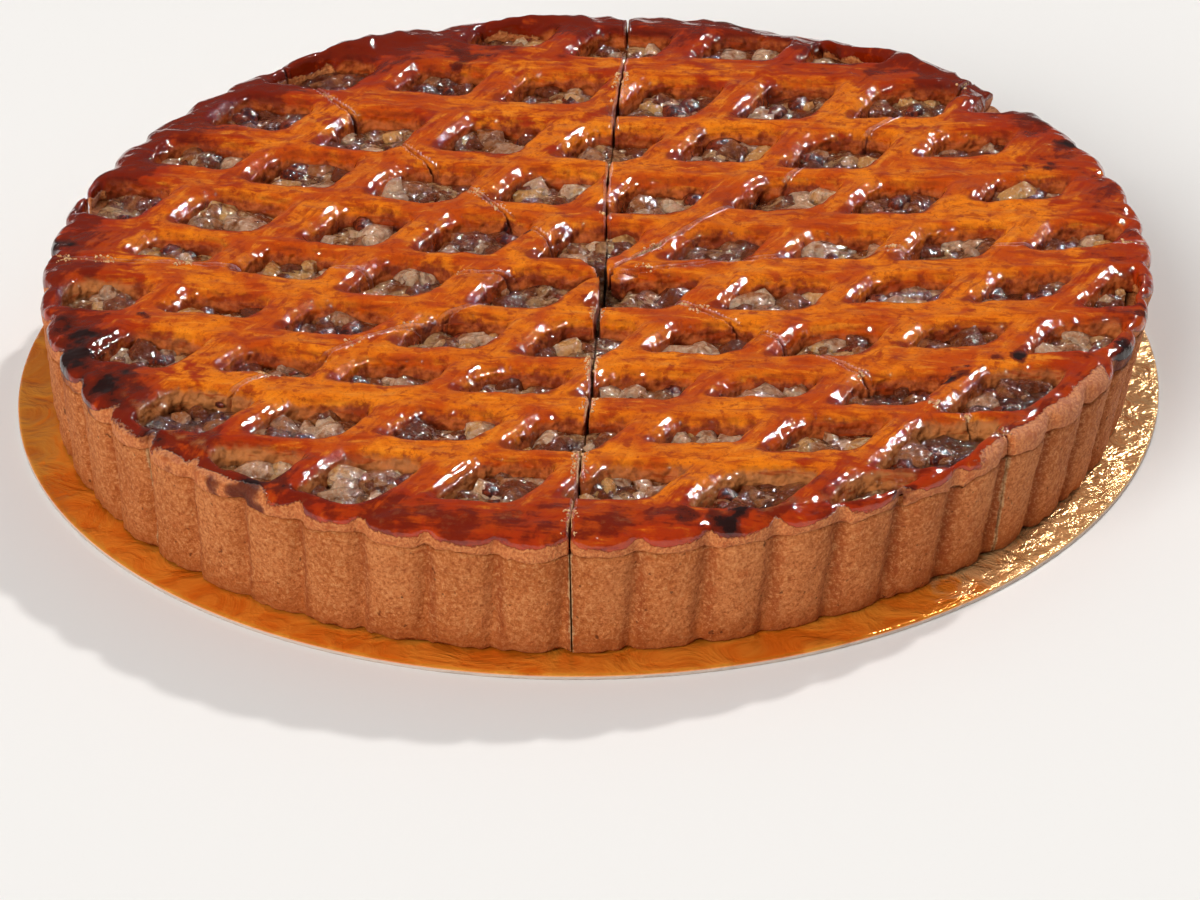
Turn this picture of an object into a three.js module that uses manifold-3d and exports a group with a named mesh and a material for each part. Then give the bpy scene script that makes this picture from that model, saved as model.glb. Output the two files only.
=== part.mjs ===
// A lattice-topped apple tart, cut into eight slices that still lie together on a round gold card.
// Millimetres, +Z up, origin on the ground under the centre of the card, front towards -Y.
import * as THREE from 'three';
import { mergeVertices } from 'three/addons/utils/BufferGeometryUtils.js';
import Module from 'manifold-3d';

const wasm = await Module();
wasm.setup();

// Driving dimensions. Angles are in degrees, counter-clockwise from +X.
const cardRadius = 140;
const cardThickness = 1.8;
const cardSides = 96;
const gap = 0.3;
const tartCentre = new THREE.Vector2(2.5, 0);
const footShift = -2.5;
const topRadius = 136;
const footRadius = 131;
const tartTop = 36.2;
const latticeThickness = 7;
const floorThickness = 5;
const wallThickness = 5.4;

// The fluted side, as the ring of the tin left it.
const fluteCount = 52;
const stepsPerFlute = 3;
const fluteDepth = 2.8;
const fluteValleyAngle = -93.2;

// The windows of the lattice: columns run left to right, rows from back to front.
const columnPitch = 29.4;
const rowPitch = 23.2;
const rowLean = 16.6;
const columnSlope = 4.2;
const latticeOrigin = new THREE.Vector2(-8.8, -4.2);
const middleRow = 5.5;
const bowByColumn = 0.75;
const bowByRow = 0.5;
const twist = 0.61;
const windowHalfAlong = 9.1;
const windowHalfAcross = 8.9;
const windowLean = 0.84;
const windowCorner = 3.2;
const windowCorners = 8;
const windowJitter = 1.3;
const windowFlare = 2.3;
const flareDepth = 2.4;
const rimBand = 4.8;
const rimShoulder = 10.8;
const outermostWindow = 127.5;
const brokenWindow = { row: 2, column: 2 };

// How much further forward or back than the regular grid each window's near edge lies, row by row,
// from the leftmost window of the row that is open.
const nearEdges = {
  1: { first: -3, shifts: [-5.5, -2, -4, -2] },
  2: { first: -4, shifts: [-0.8, -3.2, -2, 3, 3, 1, 0] },
  3: { first: -4, shifts: [-3.7, 3, 0, 0, 0, 2, -6.3] },
  4: { first: -4, shifts: [-6.3, -1, 0, -0.7, 1.3, -1.9, -1, -6.3] },
  5: { first: -4, shifts: [1, -1, -0.5, 0, 0, -2.5, -4.5, -1, -4] },
  6: { first: -3, shifts: [-8.5, -3.5, -1, -0.5, -2.4, -3.2, -5, -4, 3] },
  7: { first: -3, shifts: [-1.5, -8.5, -5, -2, 0, -4.4, -2.4, -5, -2.7] },
  8: { first: -2, shifts: [-3, -7, -7.3, -5, -4, -7, -3, 5] },
  9: { first: -1, shifts: [0, -0.5, -5, -2, -7, -2.4, 7] },
  10: { first: 0, shifts: [-3, 7, 0.5, -2, 0, -3] },
};

// Windows whose middle lies under the rim, so that only their inner part is open.
const rimWindows = { 1: 0, 6: 5, 10: 5 };
const burntWindow = { row: 10, column: 0 };

// The apple pieces and raisins that stand up out of the filling in each window.
const fillingDrop = 1.2;
const appleSize = [7.6, 6.2, 6.4];
const appleSpread = 4.4;
const appleSink = 0.6;
const raisinRadius = 3.1;
const raisinShare = 0.35;

// The knife cuts: where they meet, and the angle at which each one leaves the rim.
const cutCentre = new THREE.Vector2(1.6, -9.8);
const cutAngles = [267, 315.5, 360.5, 404, 446, 487, 538.5, 578.5];
const cutBows = [0, 1.5, 4.5, 0, 1, 0.5, 2, -7];
const kerf = 0.7;
const cutSteps = 8;
const cutWander = 0.7;
const cutReach = 160;

const wallTop = tartTop - latticeThickness - gap;
const caseBottom = cardThickness + gap;
const floorTop = caseBottom + floorThickness;
const fillingTop = tartTop - latticeThickness - fillingDrop;
const rad = THREE.MathUtils.degToRad;

// A repeatable sequence of numbers from 0 to 1.
function makeRandom(seed) {
  let state = seed;
  return () => {
    state = (state * 1664525 + 1013904223) % 4294967296;
    return state / 4294967296;
  };
}

function toSolid(geometry) {
  const bare = geometry.clone();
  bare.deleteAttribute('normal');
  bare.deleteAttribute('uv');
  const merged = mergeVertices(bare, 1e-4);
  return new wasm.Manifold(new wasm.Mesh({
    numProp: 3,
    vertProperties: new Float32Array(merged.attributes.position.array),
    triVerts: new Uint32Array(merged.index.array),
  }));
}

function toGeometry(solid) {
  const mesh = solid.getMesh();
  const geometry = new THREE.BufferGeometry();
  geometry.setAttribute('position', new THREE.BufferAttribute(new Float32Array(mesh.vertProperties), 3));
  geometry.setIndex(new THREE.BufferAttribute(new Uint32Array(mesh.triVerts), 1));
  geometry.computeVertexNormals();
  return geometry;
}

// A closed solid through rings of equal count, from the lowest to the highest, all counter-clockwise.
function loftRings(rings) {
  const count = rings[0].length;
  const points = rings.flat();
  const lowCentre = points.length;
  const highCentre = lowCentre + 1;
  points.push(middleOf(rings[0]), middleOf(rings[rings.length - 1]));
  const index = [];
  for (let ring = 0; ring < rings.length - 1; ring += 1) {
    for (let side = 0; side < count; side += 1) {
      const a = ring * count + side;
      const b = ring * count + (side + 1) % count;
      index.push(a, b, b + count, a, b + count, a + count);
    }
  }
  const lastRing = (rings.length - 1) * count;
  for (let side = 0; side < count; side += 1) {
    const next = (side + 1) % count;
    index.push(lowCentre, next, side);
    index.push(highCentre, lastRing + side, lastRing + next);
  }
  const geometry = new THREE.BufferGeometry().setFromPoints(points);
  geometry.setIndex(index);
  return geometry;
}

function middleOf(ring) {
  const sum = new THREE.Vector3();
  ring.forEach((point) => sum.add(point));
  return sum.divideScalar(ring.length);
}

// How far the uneven rim stands out of a true circle, as a share of its radius.
function rimWobble(angle) {
  const a = rad(angle);
  return 1 + 0.006 * Math.cos(2 * a - 2.2) + 0.004 * Math.cos(3 * a + 0.6) + 0.003 * Math.cos(5 * a + 1.9);
}

// A smooth hump of the given height and half-width, centred on one angle.
function hump(angle, centre, halfWidth, height) {
  const away = Math.abs(((angle - centre + 540) % 360) - 180);
  return away < halfWidth ? height * 0.5 * (1 + Math.cos(Math.PI * away / halfWidth)) : 0;
}

// The rim rises and sinks: knobs of pastry at the back left, a slump at the back right and front left.
function rimLift(angle) {
  return hump(angle, 117, 12, 2.4) + hump(angle, 97, 9, 1.2) + hump(angle, 52, 5, 1.8)
    - hump(angle, 68, 11, 1.6) - hump(angle, 39, 8, 1.4) - hump(angle, 222, 24, 1.8)
    - hump(angle, 300, 20, 1.0);
}

// From 0 on the crown of a flute to 1 in the narrow valley beside it.
function fluteValley(angle) {
  const phase = Math.abs(Math.cos(rad((angle - fluteValleyAngle) * fluteCount / 2)));
  return phase ** 2.2;
}

// From 0 at the foot of the case to 1 at the top of the tart.
function riseAt(z) {
  return (z - caseBottom) / (tartTop - caseBottom);
}

function sideRadius(angle, z, depth) {
  const radius = footRadius + (topRadius - footRadius) * riseAt(z);
  return radius * rimWobble(angle) - depth * fluteValley(angle);
}

function onTart(angle, radius, z) {
  return new THREE.Vector3(
    tartCentre.x + footShift * (1 - riseAt(z)) + radius * Math.cos(rad(angle)),
    tartCentre.y + radius * Math.sin(rad(angle)),
    z,
  );
}

function roundRing(sides, radiusAt, zAt) {
  return Array.from({ length: sides }, (_, k) => {
    const angle = fluteValleyAngle + 360 * k / sides;
    return onTart(angle, radiusAt(angle, k), zAt(angle, k));
  });
}

// The tin-shaped inside of the case at one height, which the filling follows.
function innerRing(z, clearance) {
  const radius = footRadius + (topRadius - footRadius) * riseAt(z) - wallThickness - clearance;
  return roundRing(fluteCount, (angle) => radius * rimWobble(angle), () => z);
}

function makeCase() {
  const sides = fluteCount * stepsPerFlute;
  const random = makeRandom(11);
  const foot = Array.from({ length: sides }, () => random());
  const outer = loftRings([
    roundRing(sides, (angle, k) => sideRadius(angle, caseBottom, fluteDepth) - 0.9 * foot[k], () => caseBottom),
    roundRing(sides, (angle) => sideRadius(angle, caseBottom + 2.2, fluteDepth), () => caseBottom + 2.2),
    roundRing(sides, (angle) => sideRadius(angle, wallTop, fluteDepth), () => wallTop),
  ]);
  const hollow = loftRings([innerRing(floorTop, 0), innerRing(wallTop + 1, 0)]);
  return toSolid(outer).subtract(toSolid(hollow));
}

// The place and the two edge directions of one window, on the bowed and twisted grid.
function windowFrame(row, column) {
  const r = row - middleRow;
  const centre = new THREE.Vector2(
    latticeOrigin.x + columnPitch * column - rowLean * r,
    latticeOrigin.y - columnSlope * column - rowPitch * r
      + bowByColumn * column * column + bowByRow * r * r - twist * column * r,
  );
  const along = new THREE.Vector2(columnPitch, -columnSlope + 2 * bowByColumn * column - twist * r).normalize();
  const across = new THREE.Vector2(rowLean * windowLean, rowPitch + twist * column - 2 * bowByRow * r);
  across.normalize();
  return { row, column, centre, along, across };
}

function makeWindowFrames() {
  const random = makeRandom(5);
  const frames = [];
  for (let row = 1; row <= 10; row += 1) {
    for (let column = -6; column <= 7; column += 1) {
      const frame = windowFrame(row, column);
      const shift = new THREE.Vector2(random() - 0.5, random() - 0.5).multiplyScalar(2 * windowJitter);
      frame.halfAlong = windowHalfAlong * (0.92 + 0.16 * random());
      frame.halfAcross = windowHalfAcross * (0.92 + 0.16 * random());
      frame.centre.add(shift);
      frame.broken = row === brokenWindow.row && column === brokenWindow.column;
      const burnt = row === burntWindow.row && column === burntWindow.column;
      const open = frame.centre.length() < outermostWindow || frame.broken;
      if (open || burnt || rimWindows[row] === column) {
        const { first, shifts } = nearEdges[row];
        const nearer = shifts[column - first] / 2;
        frame.halfAcross += nearer;
        frame.centre.addScaledVector(frame.across, -nearer);
        frames.push(frame);
      }
    }
  }
  return frames;
}

// A window's outline with cut corners, grown by a margin, and kept inside the rim unless it is broken.
function windowRing(frame, margin, z) {
  const halfAlong = frame.halfAlong + margin;
  const halfAcross = frame.halfAcross + margin;
  const corner = windowCorner;
  const outline = [
    [halfAlong, -halfAcross + corner], [halfAlong, halfAcross - corner],
    [halfAlong - corner, halfAcross], [-halfAlong + corner, halfAcross],
    [-halfAlong, halfAcross - corner], [-halfAlong, -halfAcross + corner],
    [-halfAlong + corner, -halfAcross], [halfAlong - corner, -halfAcross],
  ];
  return outline.map(([u, v]) => {
    const point = frame.centre.clone().addScaledVector(frame.along, u).addScaledVector(frame.across, v);
    const limit = topRadius - rimBand + margin * 0.5;
    if (!frame.broken && point.length() > limit) {
      point.setLength(limit);
    }
    return new THREE.Vector3(point.x + tartCentre.x, point.y + tartCentre.y, z);
  });
}

function makeLattice(frames) {
  const sides = fluteCount * stepsPerFlute;
  const random = makeRandom(29);
  const rough = Array.from({ length: sides }, () => random() - 0.5);
  const bottom = tartTop - latticeThickness;
  const edgeDepth = fluteDepth * 0.7;
  const sheet = loftRings([
    roundRing(sides, (angle) => sideRadius(angle, bottom, fluteDepth), () => bottom),
    roundRing(sides, (angle, k) => sideRadius(angle, bottom + 3.6, edgeDepth) + 0.5 + 0.9 * rough[k],
      () => bottom + 3.6),
    roundRing(sides, (angle, k) => sideRadius(angle, tartTop - 1.3, edgeDepth) - 0.7 + 0.9 * rough[k],
      (angle) => tartTop - 1.3 + 0.8 * rimLift(angle)),
    roundRing(sides, (angle) => sideRadius(angle, tartTop, 0) - 3.2, (angle) => tartTop + rimLift(angle)),
    roundRing(sides, () => topRadius - rimShoulder, () => tartTop),
  ]);
  const windows = frames.map((frame) => toSolid(loftRings([
    windowRing(frame, 0, bottom - 1),
    windowRing(frame, 0, tartTop - flareDepth),
    windowRing(frame, windowFlare, tartTop + 0.05),
    windowRing(frame, windowFlare, tartTop + 6),
  ])));
  return toSolid(sheet).subtract(wasm.Manifold.union(windows));
}

function applePiece(size, place, turn, random) {
  const box = new THREE.BoxGeometry(...size);
  box.deleteAttribute('normal');
  box.deleteAttribute('uv');
  const piece = mergeVertices(box, 1e-4);
  const position = piece.attributes.position;
  for (let k = 0; k < position.count; k += 1) {
    const squeeze = 0.74 + 0.26 * random();
    position.setXYZ(k, position.getX(k) * squeeze, position.getY(k) * squeeze, position.getZ(k) * squeeze);
  }
  piece.applyMatrix4(new THREE.Matrix4().makeRotationFromEuler(turn));
  piece.translate(place.x, place.y, place.z);
  return toSolid(piece);
}

// The apple pieces and raisins of one window, kept clear of the pastry round it.
function windowPieces(frame, random) {
  const middle = windowRing(frame, 0, fillingTop).reduce((sum, point) => sum.add(point), new THREE.Vector3());
  middle.divideScalar(windowCorners);
  const pieces = [];
  for (const side of [-1, 1]) {
    const place = middle.clone();
    const spread = side * appleSpread * (0.8 + 0.4 * random());
    place.x += frame.along.x * spread;
    place.y += frame.along.y * spread + (random() - 0.5) * appleSpread;
    place.z -= appleSink;
    if (random() < raisinShare) {
      const raisin = new THREE.OctahedronGeometry(raisinRadius, 0);
      raisin.scale(1, 0.8, 0.75);
      raisin.rotateZ(random() * Math.PI);
      raisin.translate(place.x, place.y, place.z + appleSink);
      pieces.push(toSolid(raisin));
    } else {
      const size = appleSize.map((edge) => edge * (0.8 + 0.3 * random()));
      const turn = new THREE.Euler(random() * 0.7, random() * 0.7, random() * Math.PI);
      pieces.push(applePiece(size, place, turn, random));
    }
  }
  const opening = loftRings([
    windowRing(frame, -2 * gap, fillingTop - 3 * appleSink),
    windowRing(frame, -2 * gap, tartTop - flareDepth),
  ]);
  return wasm.Manifold.union(pieces).intersect(toSolid(opening));
}

function makeFilling(frames) {
  const random = makeRandom(83);
  const core = toSolid(loftRings([innerRing(floorTop + gap, gap), innerRing(fillingTop, gap)]));
  const inside = toSolid(loftRings([innerRing(floorTop + gap, gap), innerRing(tartTop, gap)]));
  const covered = frames.filter((frame) => frame.centre.length() < outermostWindow);
  const pieces = wasm.Manifold.union(covered.map((frame) => windowPieces(frame, random)));
  return core.add(pieces.intersect(inside));
}

// Points along one knife cut, from the middle out past the rim, wandering a little to either side.
function cutLine(cut) {
  const line = cut % cutAngles.length;
  const random = makeRandom(101 + line);
  const start = cutCentre.clone().add(tartCentre);
  const rim = onTart(cutAngles[line], topRadius, tartTop);
  const direction = new THREE.Vector2(rim.x, rim.y).sub(start).normalize();
  const sideways = new THREE.Vector2(-direction.y, direction.x);
  const points = [];
  for (let step = 1; step <= cutSteps; step += 1) {
    const distance = cutReach * step / cutSteps;
    const bow = cutBows[line] * Math.max(0, Math.sin(Math.PI * distance / topRadius));
    const aside = bow + (random() - 0.5) * 2 * cutWander;
    points.push(start.clone().addScaledVector(direction, distance).addScaledVector(sideways, aside));
  }
  return { start, direction, sideways, points };
}

// The prism that one slice fills, half a kerf inside the cuts on either side.
function makeWedge(slice) {
  const first = cutLine(slice);
  const second = cutLine(slice + 1);
  const half = kerf / 2;
  const bisector = first.direction.clone().add(second.direction).normalize();
  const sine = Math.abs(first.direction.cross(bisector));
  const tip = first.start.clone().addScaledVector(bisector, half / sine);
  const near = first.points.map((point) => point.clone().addScaledVector(first.sideways, half));
  const far = second.points.map((point) => point.clone().addScaledVector(second.sideways, -half));
  const corner = first.start.clone().addScaledVector(bisector, cutReach * 1.2);
  const outline = new THREE.Shape([tip, ...near, corner, ...far.reverse()]);
  return toSolid(new THREE.ExtrudeGeometry(outline, { depth: tartTop + 20, bevelEnabled: false }));
}

// The slice itself, without the crumbs that the knife cuts loose at its tip.
function withoutScraps(solid) {
  return solid.decompose().reduce((largest, body) => (body.volume() > largest.volume() ? body : largest));
}

function makeMaterials() {
  return {
    card: new THREE.MeshStandardMaterial({ color: 0xb98a45, roughness: 0.25, metalness: 0.9 }),
    case: new THREE.MeshStandardMaterial({ color: 0xc07a4a, roughness: 0.85 }),
    filling: new THREE.MeshStandardMaterial({ color: 0x8f7a4e, roughness: 0.25 }),
    lattice: new THREE.MeshStandardMaterial({ color: 0xb5581c, roughness: 0.3 }),
  };
}

function addMesh(group, name, geometry, material) {
  const mesh = new THREE.Mesh(geometry, material);
  mesh.name = name;
  group.add(mesh);
}

const materials = makeMaterials();
const tart = new THREE.Group();

const card = new THREE.CylinderGeometry(cardRadius, cardRadius, cardThickness, cardSides);
card.rotateX(Math.PI / 2);
card.translate(0, 0, cardThickness / 2);
addMesh(tart, 'gold_card', card, materials.card);

const frames = makeWindowFrames();
const whole = { case: makeCase(), filling: makeFilling(frames), lattice: makeLattice(frames) };
for (let slice = 0; slice < cutAngles.length; slice += 1) {
  const wedge = makeWedge(slice);
  for (const layer of ['case', 'filling', 'lattice']) {
    const solid = withoutScraps(whole[layer].intersect(wedge));
    addMesh(tart, `slice_${slice + 1}_${layer}`, toGeometry(solid), materials[layer]);
  }
}

export default tart;
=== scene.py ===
# A lattice-topped apple tart, cut into eight slices, on its gold card.
import bpy
import bmesh
import math
import numpy as np
from mathutils import Matrix, Vector, noise
from mathutils.bvhtree import BVHTree


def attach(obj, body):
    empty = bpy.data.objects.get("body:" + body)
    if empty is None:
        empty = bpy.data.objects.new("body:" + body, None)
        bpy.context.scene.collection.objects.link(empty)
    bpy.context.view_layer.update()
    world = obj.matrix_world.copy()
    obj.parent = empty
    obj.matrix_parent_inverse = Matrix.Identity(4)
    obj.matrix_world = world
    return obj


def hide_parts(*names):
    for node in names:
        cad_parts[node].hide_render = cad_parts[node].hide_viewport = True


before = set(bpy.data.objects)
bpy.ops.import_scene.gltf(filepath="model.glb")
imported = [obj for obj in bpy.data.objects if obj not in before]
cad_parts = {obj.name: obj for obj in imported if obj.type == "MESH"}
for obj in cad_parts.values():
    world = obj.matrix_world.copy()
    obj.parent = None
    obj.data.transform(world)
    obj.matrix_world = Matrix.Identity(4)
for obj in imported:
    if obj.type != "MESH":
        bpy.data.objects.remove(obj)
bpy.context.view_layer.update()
mm = 0.001
scene = bpy.context.scene
print("frame loaded")

# Sizes are in millimetres and angles in degrees, counter-clockwise from +X, until a piece is finished.
tart = {
    "centreX": 2.5, "footShift": -2.5, "base": 2.1, "top": 36.2, "gap": 0.3,
    "topRadius": 136.0, "footRadius": 131.0, "wallThickness": 5.4, "floorThickness": 5.0,
    "latticeThickness": 7.0, "fillingDrop": 1.2,
    "flutes": 52, "fluteDepth": 2.8, "valleyAngle": -93.2, "valleyShares": ((0.32, 2), (0.68, 18)),
    "wobbles": ((2, -2.2, 0.006), (3, 0.6, 0.004), (5, 1.9, 0.003)),
    "rimHumps": ((117, 12, 2.4), (97, 9, 1.2), (52, 5, 1.8), (68, 11, -1.6), (39, 8, -1.4), (222, 24, -1.8),
                 (300, 20, -1.0)),
}
windows = {
    "rows": (1, 11), "columns": (-6, 8), "seed": 5, "sizes": (0.92, 0.16),
    "columnPitch": 29.4, "rowPitch": 23.2, "rowLean": 16.6, "columnSlope": 4.2,
    "origin": (-8.8, -4.2), "middleRow": 5.5, "bowByColumn": 0.75, "bowByRow": 0.5, "twist": 0.61,
    "halfAlong": 9.1, "halfAcross": 8.9, "lean": 0.84, "jitter": 1.3,
    "rimBand": 4.8, "outermost": 127.5, "broken": (2, 2), "atRim": ((1, 0), (6, 5), (10, 5), (10, 0)),
    "squareness": 5.6, "flareAlong": 3.5, "flareAcross": 3.1, "flareDepth": 5.6, "sides": 56,
    "bends": 6, "plugBelow": 3.0, "plugTop": (8.0, 1.15),
    "wander": 0.7, "wanderSize": 5.0, "limitWander": 0.012, "limitSize": 9.0,
    "leaning": (-0.1, 0.35), "front": (0.3, 0.9),
    "syrupy": ((10, 4), (9, 5), (8, 5), (8, 4), (7, 4), (6, 4), (2, -4), (2, -3), (3, -4), (9, -1), (4, 2),
               (7, -1)),
}
# How much further forward or back than the grid each window's near edge lies: by row, from the row's first
# open column
nearEdges = {
    1: (-3, (-5.5, -2, -4, -2)), 2: (-4, (-0.8, -3.2, -2, 3, 3, 1, 0)),
    3: (-4, (-3.7, 3, 0, 0, 0, 2, -6.3)), 4: (-4, (-6.3, -1, 0, -0.7, 1.3, -1.9, -1, -6.3)),
    5: (-4, (1, -1, -0.5, 0, 0, -2.5, -4.5, -1, -4)), 6: (-3, (-8.5, -3.5, -1, -0.5, -2.4, -3.2, -5, -4, 3)),
    7: (-3, (-1.5, -8.5, -5, -2, 0, -4.4, -2.4, -5, -2.7)), 8: (-2, (-3, -7, -7.3, -5, -4, -7, -3, 5)),
    9: (-1, (0, -0.5, -5, -2, -7, -2.4, 7)), 10: (0, (-3, 7, 0.5, -2, 0, -3)),
}
cuts = {
    "centre": (1.6, -9.8), "angles": (267, 315.5, 360.5, 404, 446, 487, 538.5, 578.5),
    "bows": (0, 1.5, 4.5, 0, 1, 0.5, 2, -7), "steps": 8, "wander": 0.7, "reach": 160.0,
    "roughStep": 1.1, "roughness": 0.55, "gapes": (0.35, 0.1, 0.12, 0.12, 0.2, 0.1, 0.1, 0.1),
    "openMiddle": 1.1, "openReach": 14.0, "openLimit": 40.0, "biteSize": 1.7, "clearance": 0.08,
    "below": 5.0, "height": 60.0, "beyond": 1.2, "seed": 101,
}
axisX = tart["centreX"]
rimRadius = tart["topRadius"]
footZ = tart["base"]
latticeLow = tart["top"] - tart["latticeThickness"]
wallTop = latticeLow - tart["gap"]
floorTop = footZ + tart["floorThickness"]
fillingTop = latticeLow - tart["fillingDrop"]
sliceNames = [f"slice_{k + 1}" for k in range(len(cuts["angles"]))]


def smoothRamp(values, low, high):
    t = np.clip((values - low) / (high - low), 0, 1)
    return t * t * (3 - 2 * t)


# A repeatable sequence of numbers from 0 to 1
def repeatable(seed):
    state = [seed]

    def draw():
        state[0] = (state[0] * 1664525 + 1013904223) % 4294967296
        return state[0] / 4294967296
    return draw


def riseAt(z):
    return (z - footZ) / (tart["top"] - footZ)


def centreAt(z):
    return axisX + tart["footShift"] * (1 - riseAt(z))


def flatNoise(x, y, size, seed):
    return noise.noise(Vector((x / size, y / size, seed)))


def roundNoise(angle, count, seed):
    return noise.noise(Vector((count * math.cos(angle), count * math.sin(angle), seed)))


def rimWobble(angle):
    wobble = 1
    for count, start, share in tart["wobbles"]:
        wobble += share * math.cos(count * angle + start)
    return wobble


def hump(angle, centre, halfWidth, height):
    away = abs((math.degrees(angle) - centre + 540) % 360 - 180)
    return height * 0.5 * (1 + math.cos(math.pi * away / halfWidth)) if away < halfWidth else 0.0


# Knobs of pastry at the back, slumps at the back right and in the front
def rimLift(angle):
    return sum(hump(angle, *values) for values in tart["rimHumps"])


# Broad lobes with a narrow valley between them
def fluteValley(angle):
    phase = (angle - math.radians(tart["valleyAngle"])) * tart["flutes"] / 2
    valley = abs(math.cos(phase))
    return sum(share * valley ** power for share, power in tart["valleyShares"])


def radiusAt(z):
    return tart["footRadius"] + (rimRadius - tart["footRadius"]) * riseAt(z)


def sideRadius(angle, z, depth):
    return radiusAt(z) * rimWobble(angle) - depth * fluteValley(angle)


def innerRadius(angle, z, clearance):
    return (radiusAt(z) - tart["wallThickness"] - clearance) * rimWobble(angle)


def onTart(angle, radius, z):
    return Vector((centreAt(z) + radius * math.cos(angle), radius * math.sin(angle), z))


# The windows of the lattice, on the same bowed and twisted grid as the solids
def layWindows():
    w = windows
    draw = repeatable(w["seed"])
    least, more = w["sizes"]
    laid = []
    for row in range(*w["rows"]):
        for column in range(*w["columns"]):
            r = row - w["middleRow"]
            x = w["origin"][0] + w["columnPitch"] * column - w["rowLean"] * r
            y = (w["origin"][1] - w["columnSlope"] * column - w["rowPitch"] * r
                 + w["bowByColumn"] * column ** 2 + w["bowByRow"] * r ** 2 - w["twist"] * column * r)
            along = Vector((w["columnPitch"],
                            -w["columnSlope"] + 2 * w["bowByColumn"] * column - w["twist"] * r))
            across = Vector((w["rowLean"] * w["lean"],
                             w["rowPitch"] + w["twist"] * column - 2 * w["bowByRow"] * r))
            x += (draw() - 0.5) * 2 * w["jitter"]
            y += (draw() - 0.5) * 2 * w["jitter"]
            halfAlong = w["halfAlong"] * (least + more * draw())
            halfAcross = w["halfAcross"] * (least + more * draw())
            broken = (row, column) == w["broken"]
            if math.hypot(x, y) < w["outermost"] or broken or (row, column) in w["atRim"]:
                first, shifts = nearEdges[row]
                nearer = shifts[column - first] / 2
                across.normalize()
                centre = Vector((x, y)) - across * nearer
                laid.append({"centre": centre, "along": along.normalized(),
                             "across": across, "halfAlong": halfAlong, "halfAcross": halfAcross + nearer,
                             "broken": broken, "syrupy": (row, column) in w["syrupy"],
                             "middle": np.array((centre.x + axisX, centre.y)),
                             "group": (row % 2) * 2 + column % 2})
    return laid


laidWindows = layWindows()
print("windows laid:", len(laidWindows))


def roundedStep(value, power):
    return math.copysign(abs(value) ** (2 / power), value)


# One point of a window's outline, at a turn round it, grown by a margin each way
def windowPoint(window, turn, growAlong, growAcross, z):
    u = (window["halfAlong"] + growAlong) * roundedStep(math.cos(turn), windows["squareness"])
    v = (window["halfAcross"] + growAcross) * roundedStep(math.sin(turn), windows["squareness"])
    point = window["centre"] + window["along"] * u + window["across"] * v
    outward = (point - window["centre"]).normalized()
    place = Vector((point.x, point.y, z / 2)) / windows["wanderSize"]
    point += outward * windows["wander"] * noise.noise(place)
    limit = rimRadius - windows["rimBand"] + 0.5 * growAcross
    limit *= 1 + windows["limitWander"] * flatNoise(point.x, point.y, windows["limitSize"], 4.0)
    if not window["broken"] and point.length > limit:
        point *= limit / point.length
    return Vector((point.x + axisX, point.y, z))


# How far a point lies outside the nearest window, in millimetres and below 0 inside it, how much the
# pastry there belongs to a leaning bar, 1, or to a cross band, 0, how near it is to the window's front
# edge, and how syrupy the window is
def windowDistance(xy):
    nearest = np.zeros((4, len(xy)))
    nearest[0] = np.inf
    for window in laidWindows:
        away = xy - window["middle"]
        along, across = window["along"], window["across"]
        det = along.x * across.y - along.y * across.x
        u = (away[:, 0] * across.y - away[:, 1] * across.x) / det
        v = (away[:, 1] * along.x - away[:, 0] * along.y) / det
        p = windows["squareness"]
        reach = (np.abs(u / window["halfAlong"]) ** p + np.abs(v / window["halfAcross"]) ** p) ** (1 / p)
        distance = (reach - 1) * 0.5 * (window["halfAlong"] + window["halfAcross"])
        sideways, forward = u / window["halfAlong"], v / window["halfAcross"]
        bar = smoothRamp(np.abs(sideways) - np.abs(forward), *windows["leaning"])
        front = smoothRamp(-forward, *windows["front"])
        syrup = np.full(len(xy), float(window["syrupy"]))
        nearest = np.where(distance < nearest[0], (distance, bar, front, syrup), nearest)
    return nearest


# One knife cut, with its points from the middle out past the rim
def layCut(line):
    draw = repeatable(cuts["seed"] + line)
    start = Vector((cuts["centre"][0] + axisX, cuts["centre"][1]))
    angle = math.radians(cuts["angles"][line])
    rim = onTart(angle, rimRadius, tart["top"]).xy
    direction = (rim - start).normalized()
    sideways = Vector((-direction.y, direction.x))
    points = [start]
    for step in range(1, cuts["steps"] + 1):
        distance = cuts["reach"] * step / cuts["steps"]
        bow = cuts["bows"][line] * max(0.0, math.sin(math.pi * distance / rimRadius))
        aside = bow + (draw() - 0.5) * 2 * cuts["wander"]
        points.append(start + direction * distance + sideways * aside)
    return {"start": start, "direction": direction, "sideways": sideways, "points": points, "line": line}


cutLines = [layCut(line) for line in range(len(cuts["angles"]))]
cutLines.append(cutLines[0])


# The cut's points with the small bites of a torn crust between them
def roughCut(cut, side, share):
    points = []
    previous = cut["start"]
    for point in cut["points"][1:]:
        count = max(1, round((point - previous).length / cuts["roughStep"]))
        for k in range(1, count + 1):
            place = previous.lerp(point, k / count)
            bite = flatNoise(place.x, place.y, cuts["biteSize"], 7.0 * side + cut["line"])
            fromMiddle = (place - cut["start"]).length
            gape = share * (cuts["gapes"][cut["line"]] + (fromMiddle < cuts["openLimit"]) * cuts["openMiddle"]
                            * math.exp(-(fromMiddle / cuts["openReach"]) ** 2))
            aside = side * (cuts["clearance"] + gape / 2 + cuts["roughness"] * share * max(0.0, bite))
            points.append(place + cut["sideways"] * aside)
        previous = point
    return points


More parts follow.
